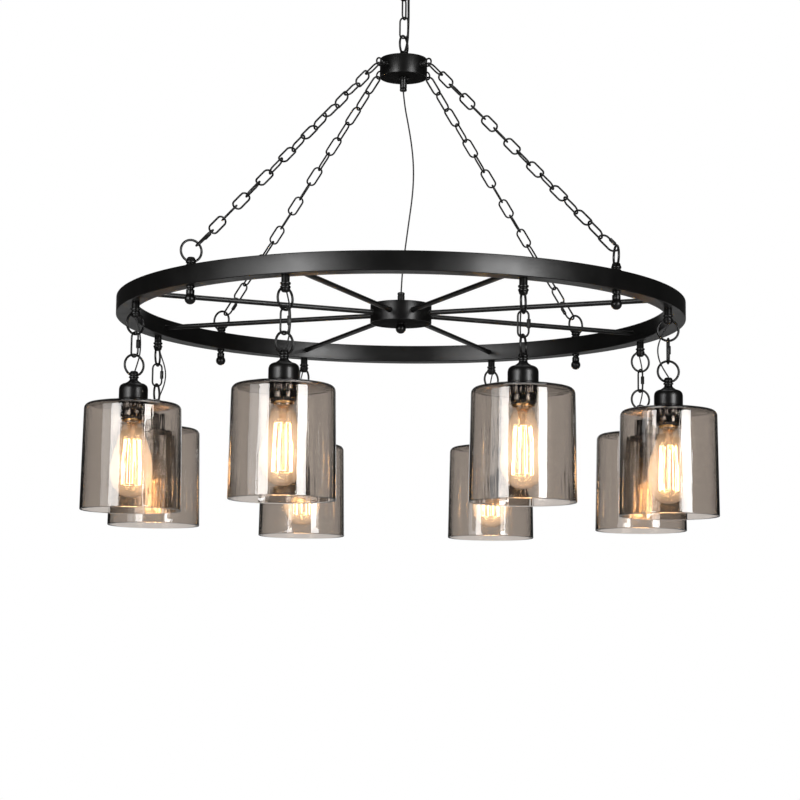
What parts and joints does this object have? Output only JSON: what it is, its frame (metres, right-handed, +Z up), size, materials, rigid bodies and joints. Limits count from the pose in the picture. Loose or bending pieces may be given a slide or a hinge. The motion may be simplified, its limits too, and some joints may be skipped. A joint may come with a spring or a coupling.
{
  "type": "wagon wheel chandelier",
  "caption": "Wheel-shaped ring on chains under a small drum, with glass-shaded filament lamps hanging from the ring on rings and quick links, below a ceiling canopy.",
  "frame": {"origin": "on the ceiling plane, midway between the two mounting holes of the crossbar", "axes": "+Z up through the middle of the canopy and the wheel, +X along the crossbar, and the picture looks along +Y from below"},
  "size_m": [0.9566, 0.9557, 0.9429],
  "materials": {
    "black_metal": "satin black powder coat",
    "shade_glass": "clear, lightly smoked",
    "bulb_glass": "clear amber, lit filament",
    "black_cord": "black flex"
  },
  "bodies": {
    "ceiling_mount": {"ceiling_crossbar": "black_metal", "canopy": "black_metal", "canopy_nipple": "black_metal", "canopy_loop": "black_metal"},
    "top_link": {"ceiling_top_link": "black_metal"},
    "ceiling_chain": {"ceiling_chain": "black_metal", "feed_cord": "black_cord"},
    "fixture": {"drum_loop": "black_metal", "drum": "black_metal", "drum_cover": "black_metal", "drum_gland": "black_metal", "drum_eyes": "black_metal", "chain_1": "black_metal", "chain_2": "black_metal", "chain_3": "black_metal", "chain_4": "black_metal", "wheel_rim": "black_metal", "rim_eyes": "black_metal", "rim_finials": "black_metal", "hub": "black_metal", "hub_cover": "black_metal", "hub_finial": "black_metal", "hub_gland": "black_metal", "spokes": "black_metal", "lamp_hangers": "black_metal", "hub_cord": "black_cord", "lamp_leads": "black_cord"},
    "link_1": {"lamp_1_link": "black_metal"},
    "lamp_1": {"lamp_1_holder": "black_metal", "lamp_1_shade": "shade_glass", "lamp_1_bulb": "bulb_glass"},
    "link_2": {"lamp_2_link": "black_metal"},
    "lamp_2": {"lamp_2_holder": "black_metal", "lamp_2_shade": "shade_glass", "lamp_2_bulb": "bulb_glass"},
    "link_3": {"lamp_3_link": "black_metal"},
    "lamp_3": {"lamp_3_holder": "black_metal", "lamp_3_shade": "shade_glass", "lamp_3_bulb": "bulb_glass"},
    "link_4": {"lamp_4_link": "black_metal"},
    "lamp_4": {"lamp_4_holder": "black_metal", "lamp_4_shade": "shade_glass", "lamp_4_bulb": "bulb_glass"},
    "link_5": {"lamp_5_link": "black_metal"},
    "lamp_5": {"lamp_5_holder": "black_metal", "lamp_5_shade": "shade_glass", "lamp_5_bulb": "bulb_glass"},
    "link_6": {"lamp_6_link": "black_metal"},
    "lamp_6": {"lamp_6_holder": "black_metal", "lamp_6_shade": "shade_glass", "lamp_6_bulb": "bulb_glass"},
    "link_7": {"lamp_7_link": "black_metal"},
    "lamp_7": {"lamp_7_holder": "black_metal", "lamp_7_shade": "shade_glass", "lamp_7_bulb": "bulb_glass"},
    "link_8": {"lamp_8_link": "black_metal"},
    "lamp_8": {"lamp_8_holder": "black_metal", "lamp_8_shade": "shade_glass", "lamp_8_bulb": "bulb_glass"}
  },
  "joints": [
    {"name": "chain_sway", "type": "hinge", "parent": "ceiling_mount", "child": "top_link", "pos_m": [0, 0, -0.0652], "axis": [0.4067, 0.9135, 0], "range_deg": [-15, 15]},
    {"name": "chain_turn", "type": "hinge", "parent": "top_link", "child": "ceiling_chain", "pos_m": [0, 0, -0.09499], "axis": [0, 0, 1], "range_deg": [-30, 30]},
    {"name": "fixture_tilt", "type": "hinge", "parent": "ceiling_chain", "child": "fixture", "pos_m": [0, 0, -0.15967], "axis": [0.9135, -0.4067, 0], "range_deg": [-15, 15], "deforming": ["feed_cord", "lamp_leads"]},
    {"name": "link_1_swing", "type": "hinge", "parent": "fixture", "child": "link_1", "pos_m": [0.16685, 0.40281, -0.67663], "axis": [0.866, 0.5, 0], "range_deg": [-14, 14]},
    {"name": "lamp_1_swing", "type": "hinge", "parent": "link_1", "child": "lamp_1", "pos_m": [0.16685, 0.40281, -0.71128], "axis": [0.5, -0.866, 0], "range_deg": [-14, 14]},
    {"name": "link_2_swing", "type": "hinge", "parent": "fixture", "child": "link_2", "pos_m": [0.40281, 0.16685, -0.67663], "axis": [0.9511, 0.309, 0], "range_deg": [-14, 14]},
    {"name": "lamp_2_swing", "type": "hinge", "parent": "link_2", "child": "lamp_2", "pos_m": [0.40281, 0.16685, -0.71128], "axis": [0.309, -0.9511, 0], "range_deg": [-14, 14]},
    {"name": "link_3_swing", "type": "hinge", "parent": "fixture", "child": "link_3", "pos_m": [0.40281, -0.16685, -0.67663], "axis": [0.9994, 0.0349, 0], "range_deg": [-14, 14]},
    {"name": "lamp_3_swing", "type": "hinge", "parent": "link_3", "child": "lamp_3", "pos_m": [0.40281, -0.16685, -0.71128], "axis": [0.0349, -0.9994, 0], "range_deg": [-14, 14]},
    {"name": "link_4_swing", "type": "hinge", "parent": "fixture", "child": "link_4", "pos_m": [0.16685, -0.40281, -0.67663], "axis": [0.309, 0.9511, 0], "range_deg": [-14, 14]},
    {"name": "lamp_4_swing", "type": "hinge", "parent": "link_4", "child": "lamp_4", "pos_m": [0.16685, -0.40281, -0.71128], "axis": [0.9511, -0.309, 0], "range_deg": [-14, 14]},
    {"name": "link_5_swing", "type": "hinge", "parent": "fixture", "child": "link_5", "pos_m": [-0.16685, -0.40281, -0.67663], "axis": [0.7193, 0.6947, 0], "range_deg": [-14, 14]},
    {"name": "lamp_5_swing", "type": "hinge", "parent": "link_5", "child": "lamp_5", "pos_m": [-0.16685, -0.40281, -0.71128], "axis": [0.6947, -0.7193, 0], "range_deg": [-14, 14]},
    {"name": "link_6_swing", "type": "hinge", "parent": "fixture", "child": "link_6", "pos_m": [-0.40281, -0.16685, -0.67663], "axis": [0.8192, 0.5736, 0], "range_deg": [-14, 14]},
    {"name": "lamp_6_swing", "type": "hinge", "parent": "link_6", "child": "lamp_6", "pos_m": [-0.40281, -0.16685, -0.71128], "axis": [0.5736, -0.8192, 0], "range_deg": [-14, 14]},
    {"name": "link_7_swing", "type": "hinge", "parent": "fixture", "child": "link_7", "pos_m": [-0.40281, 0.16685, -0.67663], "axis": [0.1736, 0.9848, 0], "range_deg": [-14, 14]},
    {"name": "lamp_7_swing", "type": "hinge", "parent": "link_7", "child": "lamp_7", "pos_m": [-0.40281, 0.16685, -0.71128], "axis": [0.9848, -0.1736, 0], "range_deg": [-14, 14]},
    {"name": "link_8_swing", "type": "hinge", "parent": "fixture", "child": "link_8", "pos_m": [-0.16685, 0.40281, -0.67663], "axis": [0.5736, 0.8192, 0], "range_deg": [-14, 14]},
    {"name": "lamp_8_swing", "type": "hinge", "parent": "link_8", "child": "lamp_8", "pos_m": [-0.16685, 0.40281, -0.71128], "axis": [0.8192, -0.5736, 0], "range_deg": [-14, 14]}
  ]
}
